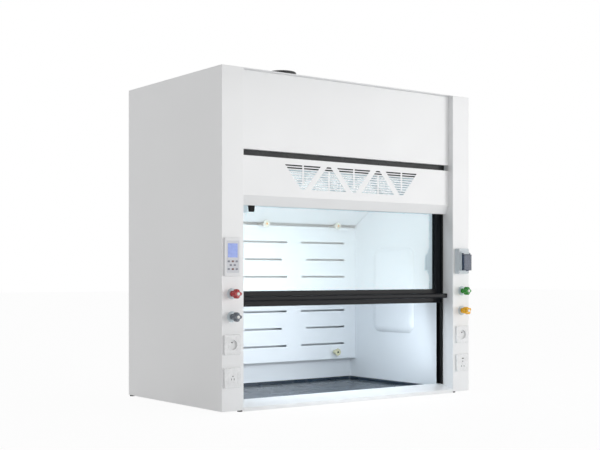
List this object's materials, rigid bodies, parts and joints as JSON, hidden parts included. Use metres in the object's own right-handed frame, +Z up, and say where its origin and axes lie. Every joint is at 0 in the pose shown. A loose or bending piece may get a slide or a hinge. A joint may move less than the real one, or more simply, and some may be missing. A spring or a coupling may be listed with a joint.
{
  "type": "benchtop fume hood",
  "caption": "White benchtop fume hood with a counterbalanced glass sash, vented fascia, slotted baffle chamber, dark worktop and post-mounted controls.",
  "frame": {"origin": "middle of the cabinet's footprint, on the bench face under the worktop", "axes": "+X to the right as seen from the front, +Y from the front to the back, +Z up"},
  "size_m": [1.5, 0.9058, 1.641],
  "materials": {
    "shell_white": "smooth semi-gloss powder coat",
    "liner_white": "smooth satin polypropylene sheet",
    "glaze_dark": "dark blue-grey glaze",
    "frame_dark": "dark painted extrusion",
    "track_black": "black moulded channel",
    "strip_black": "satin black",
    "rubber_black": "matt rubber",
    "sash_glass": "clear toughened glass",
    "lamp_glass": "frosted glass",
    "lamp_steel": "white enamel",
    "knob_cream": "moulded polypropylene",
    "collar_black": "black moulded polypropylene",
    "shaft_steel": "bright drawn steel",
    "rope_steel": "stranded wire rope",
    "weight_iron": "painted cast iron",
    "bracket_zinc": "zinc plated",
    "valve_brass": "machined brass",
    "flange_pale": "pale grey moulding",
    "knob_red": "moulded",
    "knob_grey": "moulded",
    "knob_green": "moulded",
    "knob_yellow": "moulded",
    "socket_white": "moulded",
    "panel_white": "fine textured moulding",
    "display_blue": "lit blue liquid crystal",
    "key_grey": "moulded",
    "key_brown": "moulded",
    "switch_grey": "pale grey moulding",
    "cover_smoke": "smoked blue polycarbonate",
    "toggle_dark": "moulded"
  },
  "bodies": {
    "cabinet": {"access_covers": "liner_white", "back_panel": "shell_white", "baffle_knobs": "knob_cream", "baffle_lower": "liner_white", "baffle_studs": "knob_cream", "baffle_upper": "liner_white", "control_panel": "panel_white", "exhaust_collar": "collar_black", "fascia_strip": "strip_black", "glides": "rubber_black", "lamp_glass": "lamp_glass", "lamp_housing": "lamp_steel", "lift_ropes_top": "rope_steel", "liner_back": "liner_white", "liner_ceiling": "liner_white", "liner_left": "liner_white", "liner_right": "liner_white", "lower_fascia": "shell_white", "panel_display": "display_blue", "pin_sockets": "socket_white", "post_left": "shell_white", "post_right": "shell_white", "pulley_brackets": "bracket_zinc", "roof_panel": "shell_white", "round_sockets": "socket_white", "sash_stop": "rubber_black", "sash_tracks": "track_black", "side_panel_left": "shell_white", "side_panel_right": "shell_white", "sill": "shell_white", "switch_box": "switch_grey", "switch_breaker": "switch_grey", "upper_fascia": "shell_white", "valve_bodies": "valve_brass", "valve_flanges": "flange_pale", "worktop": "glaze_dark"},
    "sash": {"sash_stile_left": "frame_dark", "sash_stile_right": "frame_dark", "sash_bottom_rail": "frame_dark", "sash_top_rail": "frame_dark", "sash_glass": "sash_glass", "lift_ropes_front": "rope_steel"},
    "counterweight": {"counterweight": "weight_iron", "lift_ropes_rear": "rope_steel"},
    "front_pulleys": {"front_pulley_shaft": "shaft_steel"},
    "rear_pulleys": {"rear_pulley_shaft": "shaft_steel"},
    "red_valve_knob": {"valve_knob_red": "knob_red"},
    "grey_valve_knob": {"valve_knob_grey": "knob_grey"},
    "green_valve_knob": {"valve_knob_green": "knob_green"},
    "yellow_valve_knob": {"valve_knob_yellow": "knob_yellow"},
    "smoked_cover": {"switch_cover": "cover_smoke"},
    "toggle": {"breaker_toggle": "toggle_dark"},
    "key_1": {"panel_key_1": "key_grey"},
    "key_2": {"panel_key_2": "key_brown"},
    "key_3": {"panel_key_3": "key_grey"},
    "key_4": {"panel_key_4": "key_grey"},
    "key_5": {"panel_key_5": "key_grey"},
    "key_6": {"panel_key_6": "key_grey"},
    "key_7": {"panel_key_7": "key_brown"},
    "key_8": {"panel_key_8": "key_grey"}
  },
  "joints": [
    {"name": "sash_slide", "type": "slide", "parent": "cabinet", "child": "sash", "axis": [0, 0, 1], "range_m": [-0.415, 0.1], "deforming": ["lift_ropes_front"]},
    {"name": "counterweight_slide", "type": "slide", "parent": "cabinet", "child": "counterweight", "axis": [0, 0, 1], "range_m": [-0.1, 0.415], "deforming": ["lift_ropes_rear"]},
    {"name": "front_pulleys_turn", "type": "hinge", "parent": "cabinet", "child": "front_pulleys", "pos_m": [0, -0.314, 1.474], "axis": [1, 0, 0], "range_deg": [-265, 1085]},
    {"name": "rear_pulleys_turn", "type": "hinge", "parent": "cabinet", "child": "rear_pulleys", "pos_m": [0, 0.38525, 1.474], "axis": [1, 0, 0], "range_deg": [-265, 1085]},
    {"name": "red_valve_turn", "type": "hinge", "parent": "cabinet", "child": "red_valve_knob", "pos_m": [-0.699, -0.455, 0.516], "axis": [0, -1, 0], "range_deg": [0, 360]},
    {"name": "grey_valve_turn", "type": "hinge", "parent": "cabinet", "child": "grey_valve_knob", "pos_m": [-0.699, -0.455, 0.416], "axis": [0, -1, 0], "range_deg": [0, 360]},
    {"name": "green_valve_turn", "type": "hinge", "parent": "cabinet", "child": "green_valve_knob", "pos_m": [0.699, -0.455, 0.516], "axis": [0, -1, 0], "range_deg": [0, 360]},
    {"name": "yellow_valve_turn", "type": "hinge", "parent": "cabinet", "child": "yellow_valve_knob", "pos_m": [0.699, -0.455, 0.416], "axis": [0, -1, 0], "range_deg": [0, 360]},
    {"name": "switch_cover_hinge", "type": "hinge", "parent": "cabinet", "child": "smoked_cover", "pos_m": [0.6885, -0.4678, 0.7042], "axis": [-1, 0, 0], "range_deg": [0, 110]},
    {"name": "toggle_throw", "type": "hinge", "parent": "cabinet", "child": "toggle", "pos_m": [0.6885, -0.4615, 0.662], "axis": [1, 0, 0], "range_deg": [0, 48]},
    {"name": "key_1_press", "type": "slide", "parent": "cabinet", "child": "key_1", "axis": [0, 1, 0], "range_m": [0, 0.001], "stiffness_N_per_m": 400},
    {"name": "key_2_press", "type": "slide", "parent": "cabinet", "child": "key_2", "axis": [0, 1, 0], "range_m": [0, 0.001], "stiffness_N_per_m": 400},
    {"name": "key_3_press", "type": "slide", "parent": "cabinet", "child": "key_3", "axis": [0, 1, 0], "range_m": [0, 0.001], "stiffness_N_per_m": 400},
    {"name": "key_4_press", "type": "slide", "parent": "cabinet", "child": "key_4", "axis": [0, 1, 0], "range_m": [0, 0.001], "stiffness_N_per_m": 400},
    {"name": "key_5_press", "type": "slide", "parent": "cabinet", "child": "key_5", "axis": [0, 1, 0], "range_m": [0, 0.001], "stiffness_N_per_m": 400},
    {"name": "key_6_press", "type": "slide", "parent": "cabinet", "child": "key_6", "axis": [0, 1, 0], "range_m": [0, 0.001], "stiffness_N_per_m": 400},
    {"name": "key_7_press", "type": "slide", "parent": "cabinet", "child": "key_7", "axis": [0, 1, 0], "range_m": [0, 0.001], "stiffness_N_per_m": 400},
    {"name": "key_8_press", "type": "slide", "parent": "cabinet", "child": "key_8", "axis": [0, 1, 0], "range_m": [0, 0.001], "stiffness_N_per_m": 400}
  ],
  "couplings": [
    {"joint": "counterweight_slide", "follows": "sash_slide", "ratio": -1},
    {"joint": "front_pulleys_turn", "follows": "sash_slide", "rad_per_m": -45.455},
    {"joint": "rear_pulleys_turn", "follows": "sash_slide", "rad_per_m": -45.455}
  ]
}
